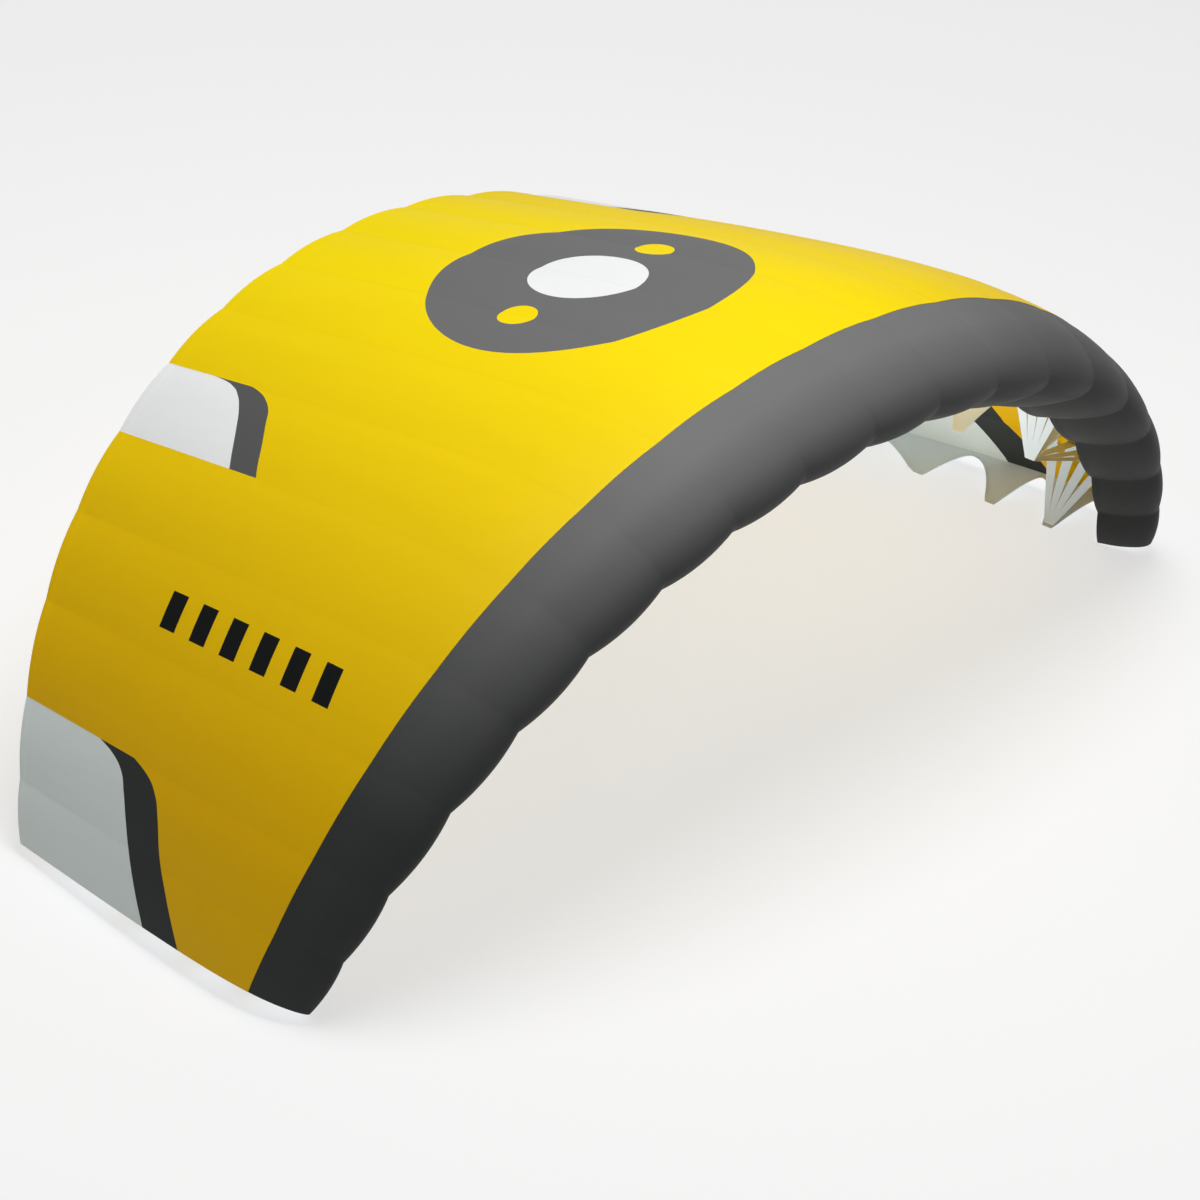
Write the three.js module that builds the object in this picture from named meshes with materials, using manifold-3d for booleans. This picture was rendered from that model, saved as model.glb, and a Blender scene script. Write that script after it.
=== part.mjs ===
// A single-skin parawing, inflated and standing as an arch on the tabs of its two tip ribs.
// Millimetres. X runs along the span, Y from the leading edge to the trailing edge, Z up.

import * as THREE from "three";
import Module from "manifold-3d";
import { mergeVertices } from "three/addons/utils/BufferGeometryUtils.js";

const wasm = await Module();
wasm.setup();

// Cloth and seams.
const clothThickness = 2;
const seamGap = 0.3;
const ribGap = 0.4;

// Stations of the arch, from the centre line to the tip, a row for each seam.
// spacing is the width of the cell before the seam, lean its tilt outwards,
// sweep how far its nose lies behind the centre nose.
const stations = [
  { spacing: 0, lean: 0, chord: 1360, sweep: 0, toeIn: 0, washout: 0 },
  { spacing: 214, lean: 6.3, chord: 1353, sweep: 3, toeIn: 0.8, washout: 0 },
  { spacing: 206, lean: 12.8, chord: 1333, sweep: 11, toeIn: 1.4, washout: 0.1 },
  { spacing: 206, lean: 19.9, chord: 1299, sweep: 24, toeIn: 2.0, washout: 0.2 },
  { spacing: 206, lean: 27.9, chord: 1245, sweep: 45, toeIn: 2.5, washout: 0.4 },
  { spacing: 201, lean: 36.7, chord: 1174, sweep: 72, toeIn: 2.9, washout: 0.5 },
  { spacing: 196, lean: 46.1, chord: 1083, sweep: 107, toeIn: 3.3, washout: 0.7 },
  { spacing: 190, lean: 55.8, chord: 971, sweep: 150, toeIn: 3.5, washout: 0.9 },
  { spacing: 150, lean: 63.6, chord: 869, sweep: 190, toeIn: 3.8, washout: 1.0 },
  { spacing: 114, lean: 69.6, chord: 782, sweep: 226, toeIn: 4.0, washout: 1.1 },
];
const tipStation = stations.length - 1;
const seamCount = 2 * tipStation + 1;
const noseToBoxMiddle = 671.19;

// Section of the canopy in parts of its chord, from the lower lip round the nose to the tail.
const section = [
  { back: 0.122, up: -0.0535 },
  { back: 0.075, up: -0.041 },
  { back: 0.033, up: -0.0225 },
  { back: 0.004, up: -0.0035 },
  { back: -0.007, up: 0.018 },
  { back: 0.001, up: 0.041 },
  { back: 0.022, up: 0.0625 },
  { back: 0.065, up: 0.088 },
  { back: 0.13, up: 0.1055 },
  { back: 0.215, up: 0.1125 },
  { back: 0.31, up: 0.1085 },
  { back: 0.42, up: 0.0975 },
  { back: 0.54, up: 0.081 },
  { back: 0.66, up: 0.062 },
  { back: 0.78, up: 0.0405 },
  { back: 0.89, up: 0.0205 },
  { back: 1, up: 0 },
];
const panelSeamRow = 8;
const tailRow = section.length - 1;
const tipCamberLoss = 0.1;

// Billow of a cell between its seams, in parts of the cell's width.
const lipBillow = 0.062;
const seamBillow = 0.022;
const tailBillow = 0.048;
const spanSteps = 3;

// Line tabs of a rib, in parts of its chord, and the scallops between them.
const tabs = [
  { back: 0.2745, drop: 0.1735 },
  { back: 0.463, drop: 0.162 },
  { back: 0.7, drop: 0.1345 },
];
const tabWidth = 23;
const scallopCrowns = [0.205, 0.392, 0.605];
const scallopPower = 1.85;
const crownDepth = 0.018;
const tailDepth = 7;
const tailSetback = 4;
const scallopSteps = 4;
const tipTabSpare = 8;
const floorSize = 5000;
const weldDistance = 1e-4;

// Fans of straps from each first tab to the seams on both sides.
const fanBack = 0.367;
const fanFront = 0.173;
const fanColumns = 7;
const fanRows = [0, 0.3, 0.95, 1];
const slitRow = 1;
const fanFoldDrop = 3;
const fanSideGap = 2.1;
const fanTopGap = 2.3;
const tipFanRibGap = 2.6;
const tipFanRise = 5.2;

const yellow = new THREE.Color(0.92, 0.72, 0.04);
const grey = new THREE.Color(0.16, 0.165, 0.165);
const white = new THREE.Color(0.8, 0.81, 0.8);

function fabric(color) {
  return new THREE.MeshStandardMaterial({ color, roughness: 0.62, metalness: 0 });
}

// Places of the noses along half of the arch, by stepping from seam to seam.
function archPlaces() {
  const places = [{ x: 0, z: 0 }];
  for (let i = 1; i <= tipStation; i += 1) {
    const cellLean = THREE.MathUtils.degToRad((stations[i - 1].lean + stations[i].lean) / 2);
    places.push({
      x: places[i - 1].x + stations[i].spacing * Math.cos(cellLean),
      z: places[i - 1].z - stations[i].spacing * Math.sin(cellLean),
    });
  }
  return places;
}

const arch = archPlaces();

// The plane of the section at one seam: its nose, the way back, the way up and the way across.
function seamFrame(seam) {
  const index = Math.abs(seam - tipStation);
  const side = seam < tipStation ? -1 : 1;
  const station = stations[index];
  const lean = THREE.MathUtils.degToRad(station.lean);
  const toe = THREE.MathUtils.degToRad(station.toeIn);
  const washout = THREE.MathUtils.degToRad(station.washout);
  const outward = new THREE.Vector3(side * Math.sin(lean), 0, Math.cos(lean));
  const downArch = new THREE.Vector3(side * Math.cos(lean), 0, -Math.sin(lean));
  const level = new THREE.Vector3(0, Math.cos(toe), 0).addScaledVector(downArch, -Math.sin(toe));
  const back = level.clone().multiplyScalar(Math.cos(washout));
  back.addScaledVector(outward, -Math.sin(washout));
  const up = outward.clone().multiplyScalar(Math.cos(washout));
  up.addScaledVector(level, Math.sin(washout));
  const across = new THREE.Vector3().crossVectors(back, up);
  const spanPart = index / tipStation;
  return {
    nose: new THREE.Vector3(side * arch[index].x, station.sweep, arch[index].z),
    back,
    up,
    across,
    chord: station.chord,
    camber: 1 - tipCamberLoss * spanPart * spanPart,
  };
}

// The whole wing is pitched so that the tabs of its tip ribs stand level on the floor.
function tabEnd(frame, tab) {
  const point = frame.nose.clone().addScaledVector(frame.back, tab.back * frame.chord);
  const height = skinHeight(tab.back) * frame.camber - tab.drop;
  return point.addScaledVector(frame.up, height * frame.chord);
}

function skinHeight(back) {
  for (let row = panelSeamRow; row < tailRow; row += 1) {
    const from = section[row];
    const to = section[row + 1];
    if (back <= to.back) {
      return from.up + ((to.up - from.up) * (back - from.back)) / (to.back - from.back);
    }
  }
  return section[tailRow].up;
}

function standingPlace() {
  const tip = seamFrame(0);
  const front = tabEnd(tip, tabs[0]);
  const rear = tabEnd(tip, tabs[tabs.length - 1]);
  const pitch = Math.atan2(rear.z - front.z, rear.y - front.y);
  const turn = new THREE.Matrix4().makeRotationX(-pitch);
  const foot = front.clone().applyMatrix4(turn);
  return turn.setPosition(0, -noseToBoxMiddle, -foot.z);
}

const standing = standingPlace();

function standingFrame(seam) {
  const frame = seamFrame(seam);
  frame.nose.applyMatrix4(standing);
  frame.back.transformDirection(standing);
  frame.up.transformDirection(standing);
  frame.across.transformDirection(standing);
  return frame;
}

const frames = Array.from({ length: seamCount }, (_, seam) => standingFrame(seam));

// Section point and its outward direction, in the plane of the section.
function sectionPoint(frame, row) {
  const { back, up } = section[row];
  const lift = up > 0 ? frame.camber : 1;
  return new THREE.Vector2(back * frame.chord, up * lift * frame.chord);
}

function sectionNormal(frame, row) {
  const before = sectionPoint(frame, Math.max(row - 1, 0));
  const after = sectionPoint(frame, Math.min(row + 1, tailRow));
  const along = after.sub(before).normalize();
  return new THREE.Vector2(-along.y, along.x);
}

function inFrame(frame, flat) {
  return new THREE.Vector3()
    .addScaledVector(frame.back, flat.x)
    .addScaledVector(frame.up, flat.y);
}

// Closed sheet on a grid of middle points, thickened along the given directions.
// The first index runs along the span and the second along the chord.
function sheet(points, directions, isCloth) {
  const rows = points.length;
  const columns = points[0].length;
  const vertices = [];
  points.forEach((line, i) => {
    line.forEach((point, j) => {
      const half = directions[i][j].clone().multiplyScalar(clothThickness / 2);
      vertices.push(...point.clone().add(half).toArray(), ...point.clone().sub(half).toArray());
    });
  });
  const outer = ([i, j]) => 2 * (i * columns + j);
  const inner = (corner) => outer(corner) + 1;
  const filled = (i, j) =>
    i >= 0 && j >= 0 && i < rows - 1 && j < columns - 1 && isCloth(i, j);
  const faces = [];
  const addQuad = (a, b, c, d) => faces.push(a, b, c, a, c, d);
  for (let i = 0; i < rows - 1; i += 1) {
    for (let j = 0; j < columns - 1; j += 1) {
      if (!filled(i, j)) continue;
      const corners = [[i, j], [i + 1, j], [i + 1, j + 1], [i, j + 1]];
      const beyond = [[i, j - 1], [i + 1, j], [i, j + 1], [i - 1, j]];
      addQuad(...corners.map(outer));
      addQuad(...corners.map(inner).reverse());
      corners.forEach((corner, edge) => {
        if (filled(...beyond[edge])) return;
        const next = corners[(edge + 1) % corners.length];
        addQuad(inner(corner), inner(next), outer(next), outer(corner));
      });
    }
  }
  return closedGeometry(vertices, faces);
}

function closedGeometry(vertices, faces) {
  const used = [...new Set(faces)].sort((a, b) => a - b);
  const place = new Map(used.map((old, index) => [old, index]));
  const kept = used.flatMap((old) => vertices.slice(3 * old, 3 * old + 3));
  const geometry = new THREE.BufferGeometry();
  geometry.setAttribute("position", new THREE.Float32BufferAttribute(kept, 3));
  geometry.setIndex(faces.map((old) => place.get(old)));
  geometry.computeVertexNormals();
  return geometry;
}

// One cloth panel of a cell, between two seams and two rows of the section.
function skinPanel(cell, firstRow, lastRow) {
  const left = frames[cell];
  const right = frames[cell + 1];
  const points = [];
  const directions = [];
  for (let i = 0; i <= spanSteps; i += 1) {
    const part = i / spanSteps;
    const line = [];
    const ways = [];
    for (let row = firstRow; row <= lastRow; row += 1) {
      const ends = [left, right].map((frame, end) => {
        const flat = sectionPoint(frame, row);
        const normal = sectionNormal(frame, row);
        if (row === panelSeamRow) {
          const seamSide = row === firstRow ? 1 : -1;
          flat.x += (normal.y * seamSide * seamGap) / 2;
          flat.y -= (normal.x * seamSide * seamGap) / 2;
        }
        const spanSide = end === 0 ? 1 : -1;
        const point = frame.nose.clone().add(inFrame(frame, flat));
        point.addScaledVector(frame.across, (spanSide * seamGap) / 2);
        return { point, normal: inFrame(frame, normal) };
      });
      const way = ends[0].normal.clone().lerp(ends[1].normal, part).normalize();
      const width = ends[0].point.distanceTo(ends[1].point);
      const point = ends[0].point.clone().lerp(ends[1].point, part);
      const arc = 4 * part * (1 - part);
      line.push(point.addScaledVector(way, billowAt(row) * width * arc));
      ways.push(way);
    }
    points.push(line);
    directions.push(ways);
  }
  return sheet(points, directions, () => true);
}

// Fullest at the lower lip and the tail, flattest at the seam between the panels.
function billowAt(row) {
  const isNose = row < panelSeamRow;
  const part = isNose ? 1 - row / panelSeamRow : (row - panelSeamRow) / (tailRow - panelSeamRow);
  return THREE.MathUtils.lerp(
    seamBillow,
    isNose ? lipBillow : tailBillow,
    THREE.MathUtils.smoothstep(part, 0, 1),
  );
}

// Points of a rib's free edge between a shallow end and a deep end, steep at the deep one.
function scallopSide(shallow, deep) {
  const points = [];
  for (let step = 1; step < scallopSteps; step += 1) {
    const part = step / scallopSteps;
    const back = shallow.back + (deep.back - shallow.back) * part;
    const drop = shallow.drop + (deep.drop - shallow.drop) * part ** scallopPower;
    points.push({ back, drop });
  }
  return points;
}

// The free edge between two deep points, with a crown near the skin.
function scallop(from, crownBack, to) {
  const crown = { back: crownBack, drop: crownDepth };
  return [...scallopSide(crown, from).reverse(), crown, ...scallopSide(crown, to)];
}

// Outline of a rib in the plane of its seam: round the nose, back under the skin, and
// forward along the free edge with its tabs.
function ribOutline(frame, endsShort) {
  const inset = clothThickness / 2 + ribGap;
  const outline = [];
  for (let row = 0; row <= tailRow; row += 1) {
    const point = sectionPoint(frame, row);
    point.addScaledVector(sectionNormal(frame, row), -inset);
    if (row === tailRow) point.x -= tailSetback;
    outline.push(point);
  }
  const halfTab = tabWidth / 2 / frame.chord;
  const lipDrop = skinHeight(section[0].back) * frame.camber - section[0].up - inset / frame.chord;
  const lip = { back: section[0].back, drop: lipDrop };
  const tail = { back: 1 - tailSetback / frame.chord, drop: tailDepth / frame.chord };
  const edge = [tail];
  for (let i = tabs.length - 1; i >= 0; i -= 1) {
    const drop = tabs[i].drop - endsShort[i] / frame.chord;
    const rear = { back: tabs[i].back + halfTab, drop };
    const front = { back: tabs[i].back - halfTab, drop };
    const last = edge[edge.length - 1];
    const between = last === tail ? scallopSide(tail, rear) : scallop(last, scallopCrowns[i + 1], rear);
    edge.push(...between, rear, front);
  }
  edge.push(...scallop(edge[edge.length - 1], scallopCrowns[0], lip));
  edge.forEach(({ back, drop }) => {
    const height = (skinHeight(back) * frame.camber - drop) * frame.chord;
    outline.push(new THREE.Vector2(back * frame.chord, height));
  });
  return outline;
}

function isTip(seam) {
  return seam === 0 || seam === seamCount - 1;
}

// A tip rib's tabs start too long, and the floor cuts them level.
function ribGeometry(seam) {
  const frame = frames[seam];
  const endsShort = isTip(seam) ? [-tipTabSpare, -tipTabSpare, -tipTabSpare] : [fanFoldDrop, 0, 0];
  const shape = new THREE.Shape(ribOutline(frame, endsShort));
  const extruded = new THREE.ExtrudeGeometry(shape, { depth: clothThickness, bevelEnabled: false });
  extruded.translate(0, 0, -clothThickness / 2);
  const place = new THREE.Matrix4().makeBasis(frame.back, frame.up, frame.across);
  extruded.applyMatrix4(place.setPosition(frame.nose));
  const solid = asSolid(extruded);
  return asGeometry(isTip(seam) ? solid.subtract(asSolid(belowFloor())) : solid);
}

function belowFloor() {
  return new THREE.BoxGeometry(floorSize, floorSize, floorSize).translate(0, 0, -floorSize / 2);
}

function asSolid(geometry) {
  const bare = geometry.clone();
  bare.deleteAttribute("normal");
  bare.deleteAttribute("uv");
  const merged = mergeVertices(bare, weldDistance);
  return new wasm.Manifold(
    new wasm.Mesh({
      numProp: 3,
      vertProperties: new Float32Array(merged.attributes.position.array),
      triVerts: new Uint32Array(merged.index.array),
    }),
  );
}

function asGeometry(solid) {
  const mesh = solid.getMesh();
  const geometry = new THREE.BufferGeometry();
  geometry.setAttribute("position", new THREE.BufferAttribute(mesh.vertProperties, mesh.numProp));
  geometry.setIndex(new THREE.BufferAttribute(mesh.triVerts, 1));
  geometry.computeVertexNormals();
  return geometry;
}

// Lines of a fan: the fold under the first tab, then rows of points up to the next seam.
function fanLines(seam, side) {
  const frame = frames[seam];
  const next = frames[seam + side];
  const tabHeight = (skinHeight(tabs[0].back) * frame.camber - tabs[0].drop) * frame.chord;
  const foldHeight = tabHeight + (isTip(seam) ? tipFanRise : 0);
  return fanRows.map((rise) => {
    const line = [];
    for (let column = 0; column <= fanColumns; column += 1) {
      const part = column / fanColumns;
      const back = fanBack + (fanFront - fanBack) * part;
      const foldBack = tabs[0].back * frame.chord + tabWidth * (0.5 - part);
      const fold = frame.nose.clone().addScaledVector(frame.back, foldBack);
      fold.addScaledVector(frame.up, foldHeight);
      if (isTip(seam)) fold.addScaledVector(frame.across, side * tipFanRibGap);
      const top = fanRoot(next, back);
      top.addScaledVector(next.across, -side * fanSideGap);
      line.push(fold.lerp(top, rise));
    }
    return line;
  });
}

// Where a fan meets the skin: just inside the seam, at a given part of the chord.
function fanRoot(frame, back) {
  let row = tailRow - 1;
  while (section[row].back > back) row -= 1;
  const from = sectionPoint(frame, row);
  const to = sectionPoint(frame, row + 1);
  const part = (back * frame.chord - from.x) / (to.x - from.x);
  const flat = from.clone().lerp(to, part);
  const normal = sectionNormal(frame, row).lerp(sectionNormal(frame, row + 1), part).normalize();
  flat.addScaledVector(normal, -fanTopGap);
  return frame.nose.clone().add(inFrame(frame, flat));
}

function fanGeometry(seam) {
  const left = seam > 0 ? fanLines(seam, -1).reverse() : [];
  const right = seam < seamCount - 1 ? fanLines(seam, 1) : [];
  const lines = left.length && right.length ? [...left, ...right.slice(1)] : [...left, ...right];
  const lastRow = lines.length - 1;
  const directions = gridDirections(lines);
  const slitRows = [slitRow, lastRow - 1 - slitRow];
  const inSlitRow = (i) => (lastRow > fanRows.length ? slitRows.includes(i) : i === slitRow);
  return sheet(lines, directions, (i, j) => !(inSlitRow(i) && j % 2 === 1));
}

// Directions across a grid of points, worked out from its neighbours.
function gridDirections(points) {
  const clamp = (value, top) => Math.max(0, Math.min(value, top));
  return points.map((line, i) =>
    line.map((_, j) => {
      const [top, end] = [points.length - 1, line.length - 1];
      const along = points[clamp(i + 1, top)][j].clone().sub(points[clamp(i - 1, top)][j]);
      const over = points[i][clamp(j + 1, end)].clone().sub(points[i][clamp(j - 1, end)]);
      return along.cross(over).normalize();
    }),
  );
}

const wing = new THREE.Group();

function addPiece(name, number, geometry, color) {
  const mesh = new THREE.Mesh(geometry, fabric(color));
  mesh.name = `${name}-${String(number).padStart(2, "0")}`;
  wing.add(mesh);
}

for (let cell = 0; cell < seamCount - 1; cell += 1) {
  addPiece("top-panel", cell + 1, skinPanel(cell, panelSeamRow, tailRow), yellow);
  addPiece("nose-panel", cell + 1, skinPanel(cell, 0, panelSeamRow), grey);
}

for (let seam = 0; seam < seamCount; seam += 2) {
  const number = seam / 2 + 1;
  addPiece("rib", number, ribGeometry(seam), white);
  addPiece("strap-fan", number, fanGeometry(seam), white);
}

export default wing;
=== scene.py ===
import bpy, bmesh
from functools import lru_cache
from math import atan2, cos, exp, pi, radians, sin
from mathutils import Matrix, Vector


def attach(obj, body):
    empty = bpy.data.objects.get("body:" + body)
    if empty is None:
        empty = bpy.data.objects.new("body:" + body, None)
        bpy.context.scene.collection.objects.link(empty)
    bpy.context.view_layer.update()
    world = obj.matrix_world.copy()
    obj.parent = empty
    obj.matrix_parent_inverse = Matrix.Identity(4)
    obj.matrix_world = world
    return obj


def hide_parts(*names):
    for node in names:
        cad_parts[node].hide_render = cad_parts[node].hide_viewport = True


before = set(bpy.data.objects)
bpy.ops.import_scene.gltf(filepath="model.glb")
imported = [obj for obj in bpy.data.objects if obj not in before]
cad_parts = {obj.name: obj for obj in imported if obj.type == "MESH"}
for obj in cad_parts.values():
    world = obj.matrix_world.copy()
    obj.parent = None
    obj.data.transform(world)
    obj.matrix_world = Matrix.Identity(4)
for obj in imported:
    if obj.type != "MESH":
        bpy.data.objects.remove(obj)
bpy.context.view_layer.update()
scene = bpy.context.scene
print("the frame is loaded")

# The camera, the floor and the lights.

view = {
    # place, turn and lens are what a scratch program found when it fitted the wing to the photo
    "azimuth": -53.886, "elevation": 29.281, "roll": 6.199,  # degrees
    "distance": 16.1,
    "target": (0.0147, -0.05015, 0.2081),
    "lens": 237.71, "sensor": 36.0,  # millimetres
    "nearAndFar": (1, 200),
}


def makeCamera():
    azimuth, elevation, roll = (radians(view[k]) for k in ("azimuth", "elevation", "roll"))
    back = Vector((sin(azimuth) * cos(elevation), -cos(azimuth) * cos(elevation), sin(elevation)))
    level = Vector((cos(azimuth), sin(azimuth), 0))
    upright = back.cross(level)
    right = level * cos(roll) + upright * sin(roll)
    up = upright * cos(roll) - level * sin(roll)
    data = bpy.data.cameras.new("camera")
    data.lens, data.sensor_width = view["lens"], view["sensor"]
    data.clip_start, data.clip_end = view["nearAndFar"]
    camera = bpy.data.objects.new("camera", data)
    camera.rotation_mode = "QUATERNION"
    camera.rotation_quaternion = Matrix((right, up, back)).transposed().to_quaternion()
    camera.location = Vector(view["target"]) + back * view["distance"]
    scene.collection.objects.link(camera)
    scene.camera = camera


makeCamera()

studio = {
    "floorSize": 60, "floorColour": (0.32, 0.32, 0.32, 1), "floorGlow": 0.66,
    "floorRoughness": 0.9, "floorGloss": 0.1,
    "lightColour": (1, 1, 1, 1), "worldStrength": 0.12,
    "lamps": [  # name, place, what it points at, size, power, spread in degrees
        ("key", (0.0, -0.3, 6.0), (0, 0, 0.4), 3.6, 284, 180),
        ("front", (-7.0, -7.0, 2.2), (0, 0, 0.4), 1.6, 30, 180),
        ("inside", (-0.3, -0.35, 0.12), (1.1, 0.0, 0.6), 0.3, 2.0, 55),
    ],
}


def makeStudio():
    floor = bmesh.new()
    bmesh.ops.create_grid(floor, x_segments=2, y_segments=2, size=studio["floorSize"])
    mesh = bpy.data.meshes.new("floor")
    floor.to_mesh(mesh)
    floor.free()
    ground = bpy.data.objects.new("floor", mesh)
    scene.collection.objects.link(ground)
    paint = bpy.data.materials.new("paleFloor")
    paint.use_nodes = True
    shader = paint.node_tree.nodes["Principled BSDF"]
    shader.inputs["Base Color"].default_value = studio["floorColour"]
    shader.inputs["Roughness"].default_value = studio["floorRoughness"]
    shader.inputs["Specular IOR Level"].default_value = studio["floorGloss"]
    shader.inputs["Emission Color"].default_value = studio["lightColour"]
    shader.inputs["Emission Strength"].default_value = studio["floorGlow"]
    mesh.materials.append(paint)
    world = bpy.data.worlds.new("studio")
    world.use_nodes = True
    sky = world.node_tree.nodes["Background"]
    sky.inputs["Color"].default_value = studio["lightColour"]
    sky.inputs["Strength"].default_value = studio["worldStrength"]
    scene.world = world
    for name, place, target, size, power, spread in studio["lamps"]:
        lamp = bpy.data.lights.new(name, "AREA")
        lamp.shape, lamp.size, lamp.energy, lamp.spread = "DISK", size, power, radians(spread)
        holder = bpy.data.objects.new(name, lamp)
        holder.location = place
        holder.visible_camera = False
        holder.rotation_euler = (Vector(target) - Vector(place)).to_track_quat("-Z", "Y").to_euler()
        scene.collection.objects.link(holder)
    scene.view_settings.view_transform = "Standard"


makeStudio()
print("the camera, floor and lights are set")

# The plan of the wing, in metres and degrees.

wing = {
    # from the centre seam to the tip: cell width before the seam, lean, chord, sweep, toe in, washout
    # these rows aren't chosen by hand: they are that program's results, rounded
    "stations": [
        (0.000, 0.0, 1.360, 0.000, 0.0, 0.0),
        (0.214, 6.3, 1.353, 0.003, 0.8, 0.0),
        (0.206, 12.8, 1.333, 0.011, 1.4, 0.1),
        (0.206, 19.9, 1.299, 0.024, 2.0, 0.2),
        (0.206, 27.9, 1.245, 0.045, 2.5, 0.4),
        (0.201, 36.7, 1.174, 0.072, 2.9, 0.5),
        (0.196, 46.1, 1.083, 0.107, 3.3, 0.7),
        (0.190, 55.8, 0.971, 0.150, 3.5, 0.9),
        (0.150, 63.6, 0.869, 0.190, 3.8, 1.0),
        (0.114, 69.6, 0.782, 0.226, 4.0, 1.1),
    ],
    "noseToBoxMiddle": 0.67119,
    # the section in parts of the chord, from the lower lip round the nose to the tail: back, up
    # the lip and the rows behind the nose follow the same fit too, and the round of the nose is given point
    # by point
    "section": [
        (0.122, -0.0535), (0.075, -0.041), (0.033, -0.0225), (0.004, -0.0035),
        (-0.007, 0.018), (0.001, 0.041), (0.022, 0.0625), (0.065, 0.088),
        (0.130, 0.1055), (0.215, 0.1125), (0.310, 0.1085), (0.420, 0.0975),
        (0.540, 0.081), (0.660, 0.062), (0.780, 0.0405), (0.890, 0.0205), (1.000, 0.0),
    ],
    "noseRow": 4, "seamRow": 8, "tailRow": 16,
    "tipCamberLoss": 0.1,
    "lipBillow": 0.062, "seamBillow": 0.029, "tailBillow": 0.048,  # in parts of the cell's width
    # back, drop below the skin, also found by the program and rounded, like the crowns of the ribs
    "tabs": [(0.2745, 0.1735), (0.463, 0.162), (0.7, 0.1345)],
}
half = len(wing["stations"]) - 1
seams = 2 * half + 1
section, noseRow, seamRow, tailRow = (wing[k] for k in ("section", "noseRow", "seamRow", "tailRow"))


def archPlaces():
    places = [(0.0, 0.0)]
    for before, here in zip(wing["stations"], wing["stations"][1:]):
        lean = radians((before[1] + here[1]) / 2)
        x, z = places[-1]
        places.append((x + here[0] * cos(lean), z - here[0] * sin(lean)))
    return places


arch = archPlaces()


def skinHeight(back):  # the plain height of the upper skin behind the panel seam
    for (back0, up0), (back1, up1) in zip(section[seamRow:], section[seamRow + 1:]):
        if back <= back1:
            return up0 + (up1 - up0) * (back - back0) / (back1 - back0)
    return 0.0


def flyingFrame(seam):
    index, side = abs(seam - half), (-1 if seam < half else 1)
    _, lean, chord, sweep, toe, washout = wing["stations"][index]
    lean, toe, washout = radians(lean), radians(toe), radians(washout)
    outward = Vector((side * sin(lean), 0, cos(lean)))
    downArch = Vector((side * cos(lean), 0, -sin(lean)))
    level = Vector((0, cos(toe), 0)) - downArch * sin(toe)
    back = level * cos(washout) - outward * sin(washout)
    up = outward * cos(washout) + level * sin(washout)
    x, z = arch[index]
    return {
        "nose": Vector((side * x, sweep, z)), "back": back, "up": up, "across": back.cross(up),
        "chord": chord, "camber": 1 - wing["tipCamberLoss"] * (index / half) ** 2,
    }


def tabEnd(rib, tab):
    height = skinHeight(tab[0]) * rib["camber"] - tab[1]
    return rib["nose"] + (rib["back"] * tab[0] + rib["up"] * height) * rib["chord"]


def standingFrames():  # pitched so that the tabs of the tip ribs stand level on the floor
    tip = flyingFrame(0)
    front, rear = tabEnd(tip, wing["tabs"][0]), tabEnd(tip, wing["tabs"][-1])
    turn = Matrix.Rotation(-atan2(rear.z - front.z, rear.y - front.y), 3, "X")
    shift = Vector((0, -wing["noseToBoxMiddle"], -(turn @ front).z))
    ribs = []
    for seam in range(seams):
        rib = flyingFrame(seam)
        rib["nose"] = turn @ rib["nose"] + shift
        for key in ("back", "up", "across"):
            rib[key] = turn @ rib[key]
        ribs.append(rib)
    return ribs


ribs = standingFrames()


def rowPoint(rib, row):
    back, up = section[max(0, min(row, tailRow))]
    return Vector((back, up * (rib["camber"] if up > 0 else 1))) * rib["chord"]


@lru_cache(None)
def seamPoint(seam, row):  # a point of the section's smooth curve, and its outward direction
    rib = ribs[seam]
    first = min(int(row), tailRow - 1)
    t = row - first
    p1, p2 = rowPoint(rib, first), rowPoint(rib, first + 1)
    p0 = rowPoint(rib, first - 1) if first > 0 else 2 * p1 - p2
    p3 = rowPoint(rib, first + 2) if first + 2 <= tailRow else 2 * p2 - p1
    a, b, c = p2 - p0, 2 * p0 - 5 * p1 + 4 * p2 - p3, 3 * p1 - 3 * p2 + p3 - p0
    flat = p1 + 0.5 * t * (a + t * (b + t * c))
    along = (a + t * (2 * b + 3 * t * c)).normalized()
    point = rib["nose"] + rib["back"] * flat.x + rib["up"] * flat.y
    return point, rib["up"] * along.x - rib["back"] * along.y, flat


def cellWidth(cell):
    return wing["stations"][half - cell if cell < half else cell - half + 1][0]


def billowAt(row):  # fullest at the lower lip and the tail, flattest at the seam between the cloths
    end = wing["lipBillow"] if row < seamRow else wing["tailBillow"]
    part = 1 - row / seamRow if row < seamRow else (row - seamRow) / (tailRow - seamRow)
    return wing["seamBillow"] + (end - wing["seamBillow"]) * (part if row < seamRow else part ** 3)


def skinPoint(place, row, lift):  # place counts seams from one tip to the other
    cell = min(int(place), seams - 2)
    part = place - cell
    (left, leftWay, _), (right, rightWay, _) = seamPoint(cell, row), seamPoint(cell + 1, row)
    way = leftWay.lerp(rightWay, part).normalized()
    rise = billowAt(row) * (left - right).length * 4 * part * (1 - part)
    return left.lerp(right, part) + way * (rise + lift)


print("the plan is worked out")

# Sewing: every cloth is a grid with two faces.

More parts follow.
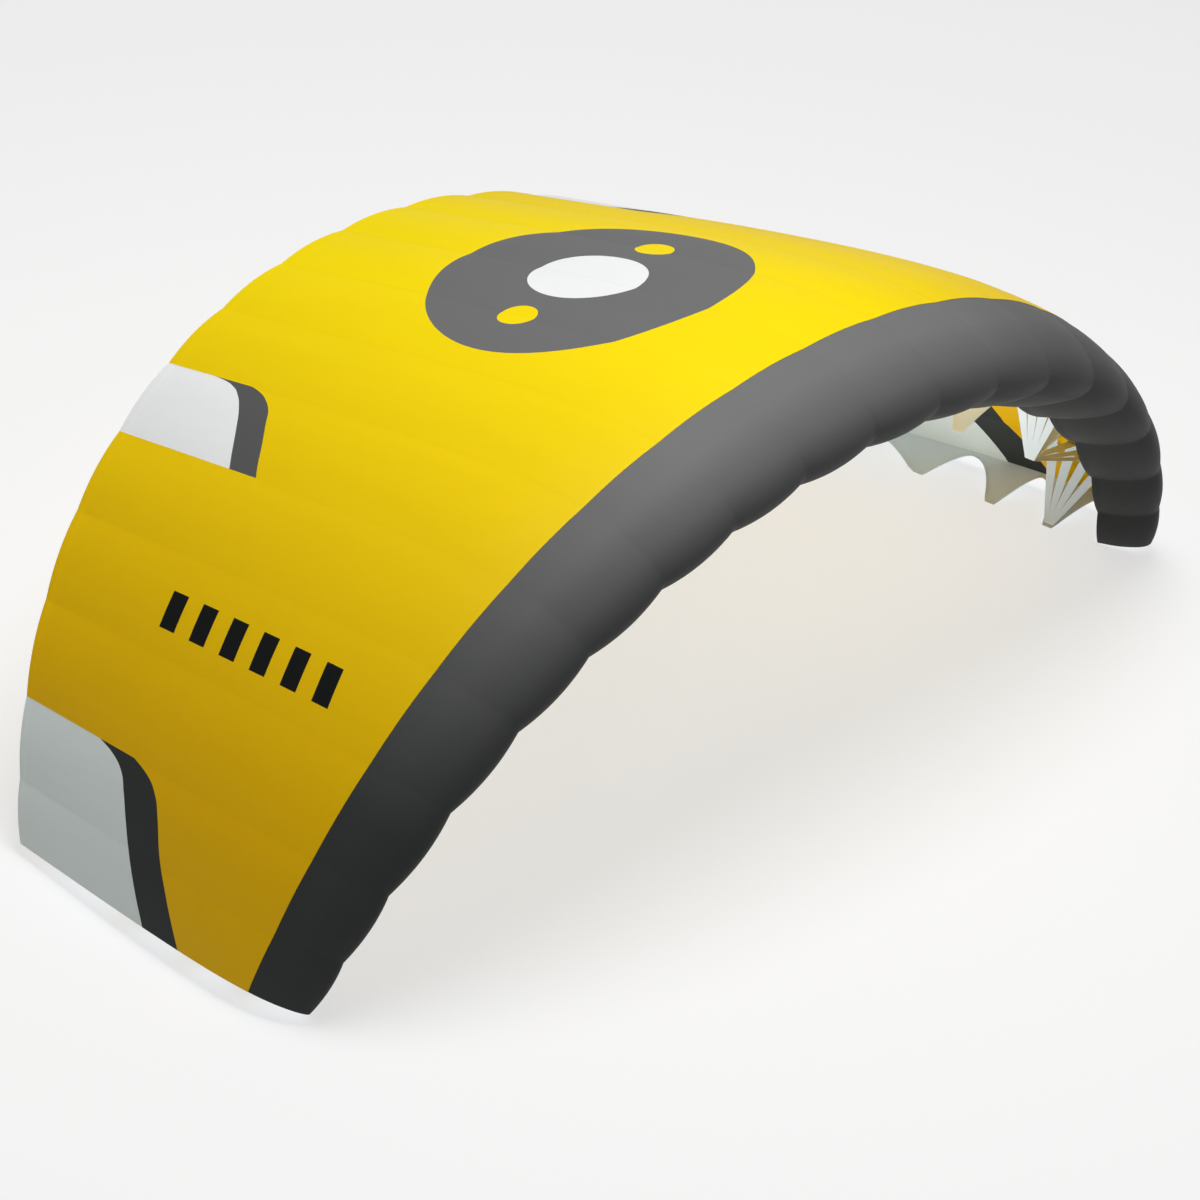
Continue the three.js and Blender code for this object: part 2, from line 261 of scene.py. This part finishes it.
cloth = {
    "thickness": 0.0008,
    "tapeHalf": 0.0065, "tapeStep": 0.0015, "tapeDepth": 0.0009,  # seam tapes on the inside
    "hemDepth": 0.0005,
    "lap": 0.10, "lapLift": 0.0006,  # the top cloth lies over the nose cloth by this part of a row
    "tipSpare": 0.003,  # the skin passes the tip rib by this much
    "puckerHeight": 0.0004, "puckerReach": 0.03, "puckerStart": 0.01,
    "puckerLength": 0.047, "puckerShift": 1.7, "groupLength": 0.31, "groupShift": 0.9,
    "sharpAngle": 40, "weld": 0.00001, "slack": 0.0001,
}


# place(column, row, side) gives a point of the outer (1) or inner (-1) face, plan(column, row) the two
# places that the finishes read, and isOpen tells which faces of the grid are cut out
def sewSheet(name, columns, rows, place, plan, isOpen=None):
    grid = bmesh.new()
    bmesh.ops.create_grid(grid, x_segments=len(columns) - 1, y_segments=len(rows) - 1, size=1)
    lastColumn, lastRow = len(columns) - 1, len(rows) - 1

    def gridPlace(face):
        middle = face.calc_center_median()
        return int((middle.x + 1) / 2 * lastColumn), int((middle.y + 1) / 2 * lastRow)

    if isOpen:
        gone = [face for face in grid.faces if isOpen(*gridPlace(face))]
        bmesh.ops.delete(grid, geom=gone, context="FACES")
    planLayer = grid.verts.layers.float_vector.new("plan")
    weaveLayer = grid.verts.layers.float_vector.new("weave")
    grown = bmesh.ops.extrude_face_region(grid, geom=grid.faces[:], use_keep_orig=True)
    inner = {item for item in grown["geom"] if isinstance(item, bmesh.types.BMVert)}
    for vert in grid.verts:
        column = columns[round((vert.co.x + 1) / 2 * lastColumn)]
        row = rows[round((vert.co.y + 1) / 2 * lastRow)]
        vert[planLayer], vert[weaveLayer] = plan(column, row)
        vert.co = place(column, row, -1 if vert in inner else 1)
    bmesh.ops.remove_doubles(grid, verts=grid.verts[:], dist=cloth["weld"])
    bmesh.ops.recalc_face_normals(grid, faces=grid.faces[:])
    mesh = bpy.data.meshes.new(name)
    grid.to_mesh(mesh)
    grid.free()
    mesh.shade_smooth()
    mesh.set_sharp_from_angle(angle=radians(cloth["sharpAngle"]))
    piece = bpy.data.objects.new(name, mesh)
    scene.collection.objects.link(piece)
    return piece


def meshArea(piece):
    return sum(face.area for face in piece.data.polygons) / 2


def steps(first, last, count, extra=()):
    even = [first + (last - first) * i / count for i in range(count + 1)]
    return sorted({round(value, 5) for value in [*even, *extra]})


def cellColumns(inside):  # seam places across the wing, close together beside each seam
    spare = cloth["tipSpare"] / cellWidth(0)
    columns = [-spare]
    for cell in range(seams - 1):
        width = cellWidth(cell)
        edge, foot = cloth["tapeHalf"] / width, (cloth["tapeHalf"] + cloth["tapeStep"]) / width
        columns += [cell, cell + edge]
        columns += [cell + foot + (1 - 2 * foot) * i / inside for i in range(inside + 1)]
        columns.append(cell + 1 - edge)
    return columns + [seams - 1, seams - 1 + spare]


def seamDistance(place):
    cell = min(int(place), seams - 2)
    return abs(min(place - cell, cell + 1 - place)) * cellWidth(cell)


def clothLift(place, row, side):  # how far a face lies off the middle of the cloth, with pleats and tapes
    lift = side * cloth["thickness"] / 2 + pucker(place, row)
    if side < 0 and seamDistance(place) <= cloth["tapeHalf"] + cloth["slack"]:
        lift -= cloth["tapeDepth"]
    return lift


def pucker(place, row):  # small pleats that the sewing draws into the cloth beside a seam
    cell, distance = min(int(place), seams - 2), seamDistance(place)
    along = 2 * pi * seamPoint(cell, row)[2].length
    pleats = sin(along / cloth["puckerLength"] + cloth["puckerShift"] * cell)
    groups = sin(along / cloth["groupLength"] + cloth["groupShift"] * cell)
    fade = exp(-distance / cloth["puckerReach"]) * min(distance / cloth["puckerStart"], 1)
    return cloth["puckerHeight"] * pleats * groups * fade


def skinPlan(place, row):
    cell = min(int(place), seams - 2)
    part = place - cell
    widths = [cellWidth(i) for i in range(seams - 1)]
    across = sum(widths[:cell]) + part * widths[cell] - sum(widths) / 2
    rib = ribs[cell]
    back = seamPoint(cell, row)[2].x / rib["chord"]
    chord = rib["chord"] + (ribs[cell + 1]["chord"] - rib["chord"]) * part
    fromTip = half - abs(place - half)
    return (fromTip, back, seamDistance(place)), (across, back * chord, part)


# Finishes of the cloths.

colours = {
    "yellow": (0.98, 0.745, 0.002, 1),
    "tipShadedYellow": (0.80, 0.460, 0.001, 1),  # painted shade: the yellow is deeper towards the tips, where the cloth faces sideways
    "white": (0.90, 0.91, 0.91, 1),
    # tipWhite is the same white cloth with painted shade, for the tip's white block
    "tipWhite": (0.72, 0.78, 0.75, 1),
    "darkGrey": (0.036, 0.040, 0.038, 1),
    "midGrey": (0.105, 0.105, 0.105, 1),
    "noseGrey": (0.185, 0.185, 0.185, 1),
    # the darker nose greys towards the tips and the lip are painted shade on one grey cloth
    "tipShadedNoseGrey": (0.042, 0.046, 0.044, 1),
    "lipShadedGrey": (0.030, 0.032, 0.031, 1),
    "patchGrey": (0.165, 0.165, 0.165, 1),
    "black": (0.008, 0.009, 0.009, 1),
    "ribWhite": (0.74, 0.82, 0.87, 1),
}

weave = {
    "ripstop": 0.0055, "ripstopLine": 0.14, "ripstopHeight": 0.00012, "ripstopTone": 0.03,
    "clouding": 0.05, "cloudSize": 3.0, "cloudDetail": 3,
    "seamLine": 0.0008, "stitchRow": 0.0045, "stitchWidth": 0.0006, "stitchLength": 0.0035,
    "stitchShare": 0.75, "seamTone": 0.07,
}

# Painted shade, where the cloths turn darker: between these cells from the tip, and these parts of the nose
# cloth.
shading = {"canopyCells": (2.0, 8.0), "noseCells": (2.5, 7.0), "lipParts": (0.4, 0.9)}

surfaces = {  # roughness, sheen, gloss
    "canopy": (0.5, 0, 0.1),
    "nose": (0.5, 0, 0.06),
    "rib": (0.6, 0.1, 0.3),
}

# Where the colour blocks lie: how far from the tip in cells, and how far back in parts of the chord.
# The borders were read off the photo by eye, and a scratch program turned the points into these numbers.
blocks = {
    # border, paint, and the cells from the tip between which the block lies
    "layers": [
        # the tip's white block is painted with tipWhite, a copy of white darkened by painted shade
        ("tipDark", "darkGrey", (-1, 2)), ("tipWhite", "tipWhite", (-1, 2)),
        ("midDark", "midGrey", (5, 6)), ("midWhite", "white", (5, 6)),
    ],
    "tipWhite": [
        (0.0, 0.508), (0.46, 0.554), (0.92, 0.597), (1.30, 0.629), (1.58, 0.653), (1.78, 0.675),
        (1.90, 0.706), (2.0, 0.760),
    ],
    "tipDark": [
        (0.0, 0.374), (0.63, 0.448), (1.14, 0.504), (1.51, 0.536), (1.73, 0.561), (1.88, 0.594),
        (2.0, 0.650),
    ],
    "midWhite": [
        (5.0, 0.740), (5.16, 0.754), (5.42, 0.777), (5.70, 0.806), (5.84, 0.827), (5.93, 0.848),
        (5.98, 0.873), (6.0, 0.900),
    ],
    "midDark": [
        (5.0, 0.678), (5.15, 0.692), (5.35, 0.709), (5.61, 0.734), (5.77, 0.750), (5.87, 0.768),
        (5.95, 0.790), (6.0, 0.816),
    ],
    "patchMiddle": (9.0, 0.529), "patchSize": (1.70, 0.223),
}

# Plain shapes: a white disc between two small yellow ones on the patch, and slanted dashes beside it.
marks = {
    # middle, radius and paint, in metres across and back from the nose
    "discs": [((0.0, 0.720), 0.12, "white"), ((0.215, 0.720), 0.04, "yellow")],
    "dashRow": (0.704, 1.232), "dashPitch": 0.088, "dashShare": 0.5,
    "dashCell": (3.24, 3.62), "dashSlant": 0.35,
}


class Finish:  # a material, and short words for the nodes in it
    def __init__(self, name):
        self.material = bpy.data.materials.new(name)
        self.material.use_nodes = True
        self.tree = self.material.node_tree
        self.shader = self.tree.nodes["Principled BSDF"]

    def node(self, kind, **settings):
        made = self.tree.nodes.new(kind)
        for key, value in settings.items():
            setattr(made, key, value)
        return made

    def put(self, socket, value):
        if isinstance(value, bpy.types.NodeSocket):
            self.tree.links.new(value, socket)
        else:
            socket.default_value = value

    def sum(self, operation, *values):
        made = self.node("ShaderNodeMath", operation=operation)
        for socket, value in zip(made.inputs, values):
            self.put(socket, value)
        return made.outputs[0]

    def attribute(self, name):
        read = self.node("ShaderNodeAttribute", attribute_name=name)
        split = self.node("ShaderNodeSeparateXYZ")
        self.put(split.inputs[0], read.outputs["Vector"])
        return read.outputs["Vector"], *split.outputs

    def mix(self, part, under, over):
        made = self.node("ShaderNodeMix", data_type="RGBA")
        for socket, value in zip((made.inputs[0], made.inputs[6], made.inputs[7]), (part, under, over)):
            self.put(socket, value)
        return made.outputs[2]

    def both(self, *tests):
        result = tests[0]
        for test in tests[1:]:
            result = self.sum("MULTIPLY", result, test)
        return result

    def between(self, value, low, high):
        return self.both(self.sum("GREATER_THAN", value, low), self.sum("LESS_THAN", value, high))

    def curve(self, value, points):  # a smooth border through a few points
        first, last = points[0][0], points[-1][0]
        spread = self.sum("DIVIDE", self.sum("SUBTRACT", value, first), last - first)
        made = self.node("ShaderNodeFloatCurve")
        line = made.mapping.curves[0]
        while len(line.points) < len(points):
            line.points.new(0.5, 0.5)
        for knot, (x, y) in zip(line.points, points):
            knot.location = ((x - first) / (last - first), y)
        made.mapping.update()
        self.put(made.inputs["Value"], spread)
        return made.outputs[0]

    def stripes(self, value, pitch, share):  # 1 on a line, 0 between the lines
        return self.sum("LESS_THAN", self.sum("FRACT", self.sum("DIVIDE", value, pitch)), share)

    def ellipse(self, place, middle, size):  # 1 inside it
        offsets = [self.sum("DIVIDE", self.sum("SUBTRACT", p, m), s) for p, m, s in zip(place, middle, size)]
        squares = [self.sum("MULTIPLY", offset, offset) for offset in offsets]
        return self.sum("LESS_THAN", self.sum("ADD", *squares), 1)

    def falling(self, value, low, high):  # 1 up to the low value, 0 from the high one
        made = self.node("ShaderNodeMapRange")
        for socket, setting in zip(made.inputs, (value, low, high, 1.0, 0.0)):
            self.put(socket, setting)
        return made.outputs[0]

    def cloud(self, place, size, detail):
        made = self.node("ShaderNodeTexNoise")
        made.inputs["Scale"].default_value = size
        made.inputs["Detail"].default_value = detail
        self.put(made.inputs["Vector"], place)
        return made.outputs[0]

    def finish(self, colour, height, roughness, sheen, gloss):
        self.put(self.shader.inputs["Base Color"], colour)
        bump = self.node("ShaderNodeBump")
        bump.inputs["Distance"].default_value = 1
        bump.inputs["Strength"].default_value = 1
        self.put(bump.inputs["Height"], height)
        self.put(self.shader.inputs["Normal"], bump.outputs[0])
        self.put(self.shader.inputs["Roughness"], roughness)
        self.shader.inputs["Sheen Weight"].default_value = sheen
        self.shader.inputs["Specular IOR Level"].default_value = gloss
        return self.material


def clothBase(finish, colour):  # ripstop squares, slight clouding, and a line with stitches along each seam
    weavePlace, across, along, _ = finish.attribute("weave")
    _, _, _, edge = finish.attribute("plan")
    lines = finish.sum(
        "MAXIMUM",
        finish.stripes(across, weave["ripstop"], weave["ripstopLine"]),
        finish.stripes(along, weave["ripstop"], weave["ripstopLine"]),
    )
    height = finish.sum("MULTIPLY", lines, weave["ripstopHeight"])
    clouds = finish.sum("SUBTRACT", finish.cloud(weavePlace, weave["cloudSize"], weave["cloudDetail"]), 0.5)
    tone = finish.sum("MULTIPLY_ADD", clouds, weave["clouding"], 1.0)
    tone = finish.sum("SUBTRACT", tone, finish.sum("MULTIPLY", lines, weave["ripstopTone"]))
    stitch = finish.both(
        finish.between(edge, weave["stitchRow"], weave["stitchRow"] + weave["stitchWidth"]),
        finish.stripes(along, weave["stitchLength"], weave["stitchShare"]),
    )
    seam = finish.sum("MAXIMUM", finish.sum("LESS_THAN", edge, weave["seamLine"]), stitch)
    tone = finish.sum("SUBTRACT", tone, finish.sum("MULTIPLY", seam, weave["seamTone"]))
    shade = finish.node("ShaderNodeMix", data_type="RGBA", blend_type="MULTIPLY")
    grey = finish.node("ShaderNodeCombineColor")
    for socket in grey.inputs:
        finish.put(socket, tone)
    finish.put(shade.inputs[0], 1.0)
    finish.put(shade.inputs[6], colour)
    finish.put(shade.inputs[7], grey.outputs[0])
    return shade.outputs[2], height


def canopyFinish():
    finish = Finish("canopyCloth")
    _, fromTip, back, _ = finish.attribute("plan")
    _, across, along, _ = finish.attribute("weave")
    fromMiddle = finish.sum("ABSOLUTE", across)
    # painted shade: the yellow deepens towards the tips
    tipShadeMask = finish.falling(fromTip, *shading["canopyCells"])
    colour = finish.mix(tipShadeMask, colours["yellow"], colours["tipShadedYellow"])
    for border, paint, cells in blocks["layers"]:
        behind = finish.sum("GREATER_THAN", back, finish.curve(fromTip, blocks[border]))
        colour = finish.mix(finish.both(finish.between(fromTip, *cells), behind), colour, colours[paint])
    patch = finish.ellipse((fromTip, back), blocks["patchMiddle"], blocks["patchSize"])
    colour = finish.mix(patch, colour, colours["patchGrey"])
    for middle, radius, paint in marks["discs"]:
        disc = finish.ellipse((fromMiddle, along), middle, (radius, radius))
        colour = finish.mix(disc, colour, colours[paint])
    slanted = finish.sum("MULTIPLY_ADD", fromMiddle, marks["dashSlant"], along)
    dash = finish.both(
        finish.between(fromTip, *marks["dashCell"]),
        finish.between(slanted, *marks["dashRow"]),
        finish.stripes(slanted, marks["dashPitch"], marks["dashShare"]),
    )
    colour = finish.mix(dash, colour, colours["black"])
    colour, height = clothBase(finish, colour)
    return finish.finish(colour, height, *surfaces["canopy"])


def noseFinish():  # a coated cloth, with painted shade that darkens it towards the lip and the tips
    finish = Finish("noseCloth")
    _, fromTip, fromLip, _ = finish.attribute("plan")
    # painted shade: darker towards the tips
    tipShadeMask = finish.falling(fromTip, *shading["noseCells"])
    colour = finish.mix(tipShadeMask, colours["noseGrey"], colours["tipShadedNoseGrey"])
    # painted shade: darker towards the lip
    colour = finish.mix(finish.falling(fromLip, *shading["lipParts"]), colour, colours["lipShadedGrey"])
    colour, height = clothBase(finish, colour)
    return finish.finish(colour, height, *surfaces["nose"])


def ribFinish():
    finish = Finish("ribCloth")
    colour, height = clothBase(finish, colours["ribWhite"])
    return finish.finish(colour, height, *surfaces["rib"])


finishes = {"canopy": canopyFinish(), "nose": noseFinish(), "rib": ribFinish()}
print("the finishes are mixed")


def settle(piece, nodes, finish):
    piece.data.materials.append(finishes[finish])
    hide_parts(*nodes)
    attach(piece, "root")
    return piece


# The top cloth.

topCloth = {
    "columnsInCell": 12, "stepsInRow": 10,
    "lapCorners": 0.09,  # one more line of corners, this part of a row behind the seam
    "lapFade": 2,  # behind the lap the lift fades out over this many laps
    "hem": (15.86, 15.88), "flat": (3.37, 1.2), "area": 3.49,
}


def makeTop():
    hemRow, hemFoot = topCloth["hem"]
    extra = (seamRow + topCloth["lapCorners"], hemRow, hemFoot)
    rows = steps(seamRow, tailRow, (tailRow - seamRow) * topCloth["stepsInRow"], extra)

    def place(column, row, side):
        lift = clothLift(column, row, side)
        if row >= hemFoot:
            lift += side * cloth["hemDepth"]
        pastLap = (row - seamRow) / cloth["lap"] - 1
        lift += cloth["lapLift"] * (1 - min(max(pastLap / topCloth["lapFade"], 0), 1))
        return skinPoint(column, row, lift)

    piece = sewSheet("top-cloth", cellColumns(topCloth["columnsInCell"]), rows, place, skinPlan)
    settle(piece, [f"top-panel-{n:02d}" for n in range(1, seams)], "canopy")
    print("top cloth", len(piece.data.polygons), "faces, area", round(meshArea(piece), 3))


# The nose cloth.

noseCloth = {
    "columnsInCell": 12, "stepsInRow": 6,
    "tuck": 0.2,  # it sinks under the top cloth from this part of a row before the seam
    "hem": (0.2, 0.23), "flat": (3.37, 0.45), "area": 1.32,
}


def makeNose():
    hemRow, hemFoot = noseCloth["hem"]
    extra = (hemRow, hemFoot, seamRow + cloth["lap"])
    rows = steps(0, seamRow, seamRow * noseCloth["stepsInRow"], extra)

    def place(column, row, side):
        lift = clothLift(column, row, side)
        if row <= hemRow:
            lift += side * cloth["hemDepth"]
        if row > seamRow - noseCloth["tuck"]:
            lift -= cloth["lapLift"] / 2
        return skinPoint(column, row, lift)

    def plan(column, row):
        (fromTip, _, edge), weavePlace = skinPlan(column, row)
        return (fromTip, row / seamRow, edge), weavePlace

    piece = sewSheet("nose-cloth", cellColumns(noseCloth["columnsInCell"]), rows, place, plan)
    settle(piece, [f"nose-panel-{n:02d}" for n in range(1, seams)], "nose")
    print("nose cloth", len(piece.data.polygons), "faces, area", round(meshArea(piece), 3))


# The ribs.

ribCloth = {
    "tabWidth": 0.023, "crowns": (0.205, 0.392, 0.605), "crownDepth": 0.018, "power": 1.85,
    "tailDepth": 0.007, "tailSetback": 0.004, "skinGap": 0.0002,
    "lipRise": 0.001, "lipSpare": 0.004, "nosePoint": 0.0001,
    "tabClearance": 0.003,  # the first tab stops short of the fold of its fan
    "tipTabExtra": 0.006,  # the tabs of the tip ribs reach past the floor and are cut level there
    "hem": (0.008, 0.0095), "hemShare": (0.3, 0.36), "scallopSteps": 12, "upSteps": 7,
    "lineSteps": (240, 80), "lineNudge": 0.01, "tiny": 1e-9,
    "noseColumns": (0.0, 0.0008, 0.003, 0.008, 0.016, 0.026, 0.038, 0.052, 0.068, 0.085, 0.104),
}


@lru_cache(None)
def skinLine(seam, isUpper):  # the skin as (back, up) in metres, from the nose backwards
    upperSteps, lowerSteps = ribCloth["lineSteps"]
    rows = steps(noseRow, tailRow, upperSteps) if isUpper else steps(noseRow, 0, lowerSteps)[::-1]
    gap, nudge = ribCloth["skinGap"], ribCloth["lineNudge"]
    line = []
    for row in rows:
        flat = seamPoint(seam, row)[2]
        ahead = seamPoint(seam, min(row + nudge, tailRow))[2] - seamPoint(seam, max(row - nudge, 0))[2]
        ahead.normalize()
        line.append((flat.x + ahead.y * gap, flat.y - ahead.x * gap))
    return line


def heightAt(line, back):
    for (back0, up0), (back1, up1) in zip(line, line[1:]):
        if back <= back1:
            return up0 + (up1 - up0) * max(0, (back - back0) / max(back1 - back0, ribCloth["tiny"]))
    return line[-1][1]


def ribEdge(seam):  # corners of the free edge, from the lip to the tail: back, drop, in metres
    rib = ribs[seam]
    chord = rib["chord"]
    isTip = seam in (0, seams - 1)
    lipBack, lipUp = section[0]
    lipDrop = skinHeight(lipBack) * rib["camber"] - lipUp - ribCloth["lipRise"] / chord
    deep = [((lipBack, lipDrop),) * 2]
    for index, (back, drop) in enumerate(wing["tabs"]):
        extra = 0
        if isTip:
            extra = ribCloth["tipTabExtra"]
        elif index == 0:
            extra = -ribCloth["tabClearance"]
        end = drop + extra / chord
        wide = ribCloth["tabWidth"] / 2 / chord
        deep.append(((back - wide, end), (back + wide, end)))
    tail = (1 - ribCloth["tailSetback"] / chord, ribCloth["tailDepth"] / chord)
    crowns = [(back, ribCloth["crownDepth"]) for back in ribCloth["crowns"]]
    count, power = ribCloth["scallopSteps"], ribCloth["power"]
    edge = []

    def side(shallow, low, isDown):
        parts = [i / count for i in range(1, count)]
        found = [
            (shallow[0] + (low[0] - shallow[0]) * t, shallow[1] + (low[1] - shallow[1]) * t ** power)
            for t in parts
        ]
        edge.extend(found if isDown else found[::-1])

    for index, (front, rear) in enumerate(deep):
        if index:
            side(crowns[index - 1], front, True)
            edge.extend([front, ((front[0] + rear[0]) / 2, front[1])])
        edge.append(rear)
        if index < len(crowns):
            side(crowns[index], rear, False)
            edge.append(crowns[index])
    side(tail, deep[-1][1], False)
    edge.append(tail)
    return [(back * chord, (skinHeight(back) * rib["camber"] - drop) * chord) for back, drop in edge]


def makeRib(number):
    seam = 2 * (number - 1)
    rib = ribs[seam]
    upper, lower = skinLine(seam, True), skinLine(seam, False)
    start = upper[0][0]
    lip = section[0][0] * rib["chord"]
    columns = [start + part * rib["chord"] for part in ribCloth["noseColumns"]]
    ahead = [back for back in columns if back < lip - ribCloth["lipSpare"]]
    outline = [(back, heightAt(lower, back), heightAt(upper, back)) for back in ahead]
    outline += [(back, low, heightAt(upper, back)) for back, low in ribEdge(seam)]
    outline[0] = (start, upper[0][1] - ribCloth["nosePoint"], upper[0][1] + ribCloth["nosePoint"])
    (hem, foot), (hemShare, footShare) = ribCloth["hem"], ribCloth["hemShare"]
    rows = [0, "hem", "foot"] + [i / ribCloth["upSteps"] for i in range(1, ribCloth["upSteps"] + 1)]
    thick = cloth["thickness"] / 2

    def rise(low, high, row):
        room = high - low
        hemHeight, footHeight = min(hem, room * hemShare), min(foot, room * footShare)
        if row == "hem":
            return low + hemHeight
        if row == "foot":
            return low + footHeight
        return low if row == 0 else low + footHeight + (room - footHeight) * row

    def place(column, row, side):
        back, low, high = outline[column]
        height = rise(low, high, row)
        depth = thick + (cloth["hemDepth"] if row in (0, "hem") else 0)
        point = rib["nose"] + rib["back"] * back + rib["up"] * height + rib["across"] * side * depth
        if point.z < 0:
            point -= rib["up"] * (point.z / rib["up"].z)
        return point

    def plan(column, row):
        back, low, high = outline[column]
        height = rise(low, high, row)
        return (0, back / rib["chord"], height - low), (back, height, 0)

    name = f"rib-cloth-{number:02d}"
    piece = sewSheet(name, list(range(len(outline))), rows, place, plan)
    settle(piece, [f"rib-{number:02d}"], "rib")
    area = sum((b[0] - a[0]) * (a[2] - a[1] + b[2] - b[1]) / 2 for a, b in zip(outline, outline[1:]))


# The strap fans.

strapFan = {
    "back": 0.367, "front": 0.173, "bands": 7, "columnsInBand": 4,
    "slitStart": 0.175, "slitPoint": 0.03,  # a slit starts as a point and widens up to the seam
    "sideGap": 0.0012, "topGap": 0.0016,
    "tipRibGap": 0.0026, "tipRise": 0.0052, "stepsUp": 16, "nudge": 0.02,
    "weaveSpread": 0.3, "weaveLength": 0.35, "seamClear": 0.002,
}


def fanTop(seam, side, back):  # on the inner face of the skin, just inside the seam
    rib = ribs[seam]
    x = back * rib["chord"]
    height = heightAt(skinLine(seam, True), x) - (strapFan["topGap"] - ribCloth["skinGap"])
    inwards = rib["across"] * side * strapFan["sideGap"]
    return rib["nose"] + rib["back"] * x + rib["up"] * height - inwards


def makeFan(number):
    seam = 2 * (number - 1)
    rib = ribs[seam]
    sides = [side for side in (-1, 1) if 0 <= seam + side < seams]
    isTip = len(sides) == 1
    tabBack, tabDrop = wing["tabs"][0]
    foldUp = (skinHeight(tabBack) * rib["camber"] - tabDrop) * rib["chord"]
    foldUp += strapFan["tipRise"] if isTip else 0
    bands, perBand = strapFan["bands"], strapFan["columnsInBand"]
    columns = [i / perBand / bands for i in range(bands * perBand + 1)]
    low = strapFan["slitStart"]
    up = steps(0, 1, strapFan["stepsUp"], (low,))
    rows = up if isTip else [-value for value in up[:0:-1]] + up
    thick = cloth["thickness"] / 2

    def spread(column, row):  # the slits, every second band, narrow down to points
        slit = max(strapFan["slitPoint"], (abs(row) - low) / (1 - low)) / bands
        strip = (1 - slit * (bands // 2)) / (bands // 2 + 1)
        band = min(int(column * bands + cloth["slack"]), bands - 1)
        start = (band // 2) * (strip + slit) + (strip if band % 2 else 0)
        return start + (column * bands - band) * (slit if band % 2 else strip)

    def middle(column, row):
        column = spread(column, row)
        side = sides[0] if isTip else (1 if row >= 0 else -1)
        fold = rib["nose"] + rib["back"] * (tabBack * rib["chord"] + ribCloth["tabWidth"] * (0.5 - column))
        fold += rib["up"] * foldUp
        if isTip:
            fold += rib["across"] * side * strapFan["tipRibGap"]
        back = strapFan["back"] + (strapFan["front"] - strapFan["back"]) * column
        return fold.lerp(fanTop(seam + side, side, back), abs(row))

    def facing(column, row):
        nudge = strapFan["nudge"]
        over = middle(min(column + nudge, 1), row) - middle(max(column - nudge, 0), row)
        along = middle(column, min(row + nudge, rows[-1])) - middle(column, max(row - nudge, rows[0]))
        return along.cross(over).normalized()

    def place(column, row, side):
        return middle(column, row) + facing(column, row) * side * thick

    def plan(column, row):
        width = ribCloth["tabWidth"] + strapFan["weaveSpread"] * abs(row)
        band = (column * bands) % 1
        edge = min(band, 1 - band) * width / bands + strapFan["seamClear"]
        return (0, column, edge), (column * width, row * strapFan["weaveLength"], 0)

    def isOpen(column, row):
        across = (columns[column] + columns[column + 1]) / 2
        along = abs((rows[row] + rows[row + 1]) / 2)
        return int(across * bands) % 2 == 1 and along > low

    name = f"fan-cloth-{number:02d}"
    piece = sewSheet(name, columns, rows, place, plan, isOpen)
    settle(piece, [f"strap-fan-{number:02d}"], "rib")
    ends = [1] if isTip else sides
    long = sum((middle(0.5, 0) - middle(0.5, end)).length for end in ends)


makeTop()
makeNose()
for number in range(1, half + 2):
    makeRib(number)
    makeFan(number)
print("the cloths are sewn")
